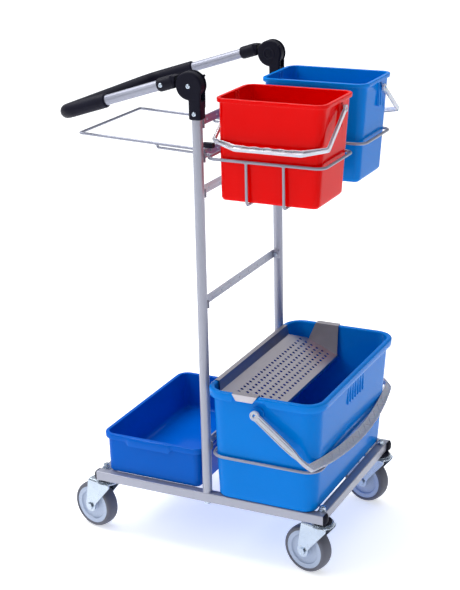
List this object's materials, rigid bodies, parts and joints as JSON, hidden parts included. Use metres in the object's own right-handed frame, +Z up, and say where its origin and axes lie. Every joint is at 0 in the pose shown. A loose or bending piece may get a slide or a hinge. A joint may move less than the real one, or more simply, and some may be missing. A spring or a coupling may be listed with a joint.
{
  "type": "housekeeping cart",
  "caption": "Wheeled housekeeping cart: tube frame on swivel casters with tilting handle, small buckets in wire holders, large bucket with drip sieve, tray and bag frame.",
  "frame": {"origin": "centre of the bounding box at floor level, where the tyres touch", "axes": "+Z up, the push handle points along -X and the large bucket stands on the +X side, +Y across the cart"},
  "size_m": [0.6022, 0.4602, 1.0055],
  "materials": {
    "silver_coating": "satin metallic powder coat",
    "black_plastic": "fine-grained black moulding",
    "zinc_plate": "bright zinc plate",
    "stainless_sheet": "brushed stainless sheet",
    "red_plastic": "smooth glossy moulding",
    "blue_plastic": "smooth glossy moulding",
    "deep_blue_plastic": "smooth glossy moulding",
    "clear_grey_plastic": "translucent grey moulding",
    "hub_plastic": "smooth light grey moulding",
    "grey_tyre": "non-marking grey rubber"
  },
  "bodies": {
    "chassis": {"side_rail_near": "silver_coating", "side_rail_far": "silver_coating", "cross_member_handle_end": "silver_coating", "cross_member_bucket_end": "silver_coating", "rail_end_caps": "black_plastic", "post_near": "silver_coating", "post_far": "silver_coating", "post_foot_screws": "zinc_plate", "cross_strip_bottom": "silver_coating", "cross_strip_lower": "silver_coating", "cross_strip_middle": "silver_coating", "cross_strip_holder": "silver_coating", "cross_strip_top": "silver_coating", "strip_screws": "zinc_plate", "bag_frame": "silver_coating", "bag_frame_clips": "black_plastic", "bucket_holder_near": "silver_coating", "bucket_holder_far": "silver_coating", "large_bucket_hoop": "silver_coating", "knuckle_body_near": "black_plastic", "knuckle_body_far": "black_plastic", "knuckle_pivot_pins": "zinc_plate", "knuckle_post_screws": "zinc_plate", "caster_stem_bolts": "zinc_plate", "caster_stem_nuts": "zinc_plate", "caster_races": "zinc_plate"},
    "handle": {"handle_socket_near": "black_plastic", "handle_socket_far": "black_plastic", "handle_socket_screws": "zinc_plate", "handle_tube": "silver_coating", "handle_grip": "black_plastic"},
    "release_button_near": {"release_button_near": "black_plastic"},
    "release_button_far": {"release_button_far": "black_plastic"},
    "red_bucket": {"red_bucket": "red_plastic"},
    "red_bucket_bail": {"red_bucket_bail": "clear_grey_plastic"},
    "blue_bucket": {"blue_bucket": "blue_plastic"},
    "blue_bucket_bail": {"blue_bucket_bail": "clear_grey_plastic"},
    "large_bucket": {"large_bucket": "blue_plastic"},
    "large_bucket_bail": {"large_bucket_bail": "clear_grey_plastic"},
    "drip_sieve": {"drip_sieve": "stainless_sheet"},
    "tray": {"tray": "deep_blue_plastic"},
    "swivel_1": {"fork_1": "zinc_plate", "axle_bolt_1": "zinc_plate"},
    "wheel_1": {"wheel_hub_1": "hub_plastic", "tyre_1": "grey_tyre"},
    "swivel_2": {"fork_2": "zinc_plate", "axle_bolt_2": "zinc_plate"},
    "wheel_2": {"wheel_hub_2": "hub_plastic", "tyre_2": "grey_tyre"},
    "swivel_3": {"fork_3": "zinc_plate", "axle_bolt_3": "zinc_plate"},
    "wheel_3": {"wheel_hub_3": "hub_plastic", "tyre_3": "grey_tyre"},
    "swivel_4": {"fork_4": "zinc_plate", "axle_bolt_4": "zinc_plate"},
    "wheel_4": {"wheel_hub_4": "hub_plastic", "tyre_4": "grey_tyre"}
  },
  "joints": [
    {"name": "handle_tilt", "type": "hinge", "parent": "chassis", "child": "handle", "pos_m": [0.01857, 0, 0.9785], "axis": [0, 1, 0], "range_deg": [-5, 90]},
    {"name": "release_button_near_press", "type": "slide", "parent": "chassis", "child": "release_button_near", "axis": [0, -1, 0], "range_m": [0, 0.003], "stiffness_N_per_m": 600, "springref_m": -0.003},
    {"name": "release_button_far_press", "type": "slide", "parent": "chassis", "child": "release_button_far", "axis": [0, 1, 0], "range_m": [0, 0.003], "stiffness_N_per_m": 600, "springref_m": -0.003},
    {"name": "red_bucket_lift", "type": "slide", "parent": "chassis", "child": "red_bucket", "axis": [0, 0, 1], "range_m": [0, 0.15]},
    {"name": "red_bail_swing", "type": "hinge", "parent": "red_bucket", "child": "red_bucket_bail", "pos_m": [0.17317, -0.09, 0.936], "axis": [-1, 0, 0], "range_deg": [0, 130]},
    {"name": "blue_bucket_lift", "type": "slide", "parent": "chassis", "child": "blue_bucket", "axis": [0, 0, 1], "range_m": [0, 0.15]},
    {"name": "blue_bail_swing", "type": "hinge", "parent": "blue_bucket", "child": "blue_bucket_bail", "pos_m": [0.17317, 0.12, 0.936], "axis": [1, 0, 0], "range_deg": [0, 130]},
    {"name": "large_bucket_lift", "type": "slide", "parent": "chassis", "child": "large_bucket", "axis": [0, 0, 1], "range_m": [0, 0.1]},
    {"name": "large_bail_swing", "type": "hinge", "parent": "large_bucket", "child": "large_bucket_bail", "pos_m": [0.15717, 0, 0.35], "axis": [0, -1, 0], "range_deg": [0, 129]},
    {"name": "drip_sieve_lift", "type": "slide", "parent": "large_bucket", "child": "drip_sieve", "axis": [0, 0, 1], "range_m": [0, 0.07]},
    {"name": "tray_lift", "type": "slide", "parent": "chassis", "child": "tray", "axis": [0, 0, 1], "range_m": [0, 0.15]},
    {"name": "swivel_1_turn", "type": "hinge", "parent": "chassis", "child": "swivel_1", "pos_m": [0.27517, -0.168, 0.123], "axis": [0, 0, 1], "continuous": true},
    {"name": "wheel_1_spin", "type": "hinge", "parent": "swivel_1", "child": "wheel_1", "pos_m": [0.24107, -0.16013, 0.05], "axis": [0.225, 0.9744, 0], "continuous": true},
    {"name": "swivel_2_turn", "type": "hinge", "parent": "chassis", "child": "swivel_2", "pos_m": [0.27517, 0.168, 0.123], "axis": [0, 0, 1], "continuous": true},
    {"name": "wheel_2_spin", "type": "hinge", "parent": "swivel_2", "child": "wheel_2", "pos_m": [0.24107, 0.17587, 0.05], "axis": [0.225, 0.9744, 0], "continuous": true},
    {"name": "swivel_3_turn", "type": "hinge", "parent": "chassis", "child": "swivel_3", "pos_m": [-0.21683, -0.168, 0.123], "axis": [0, 0, 1], "continuous": true},
    {"name": "wheel_3_spin", "type": "hinge", "parent": "swivel_3", "child": "wheel_3", "pos_m": [-0.25093, -0.16013, 0.05], "axis": [0.225, 0.9744, 0], "continuous": true},
    {"name": "swivel_4_turn", "type": "hinge", "parent": "chassis", "child": "swivel_4", "pos_m": [-0.21683, 0.168, 0.123], "axis": [0, 0, 1], "continuous": true},
    {"name": "wheel_4_spin", "type": "hinge", "parent": "swivel_4", "child": "wheel_4", "pos_m": [-0.25093, 0.17587, 0.05], "axis": [0.225, 0.9744, 0], "continuous": true}
  ]
}
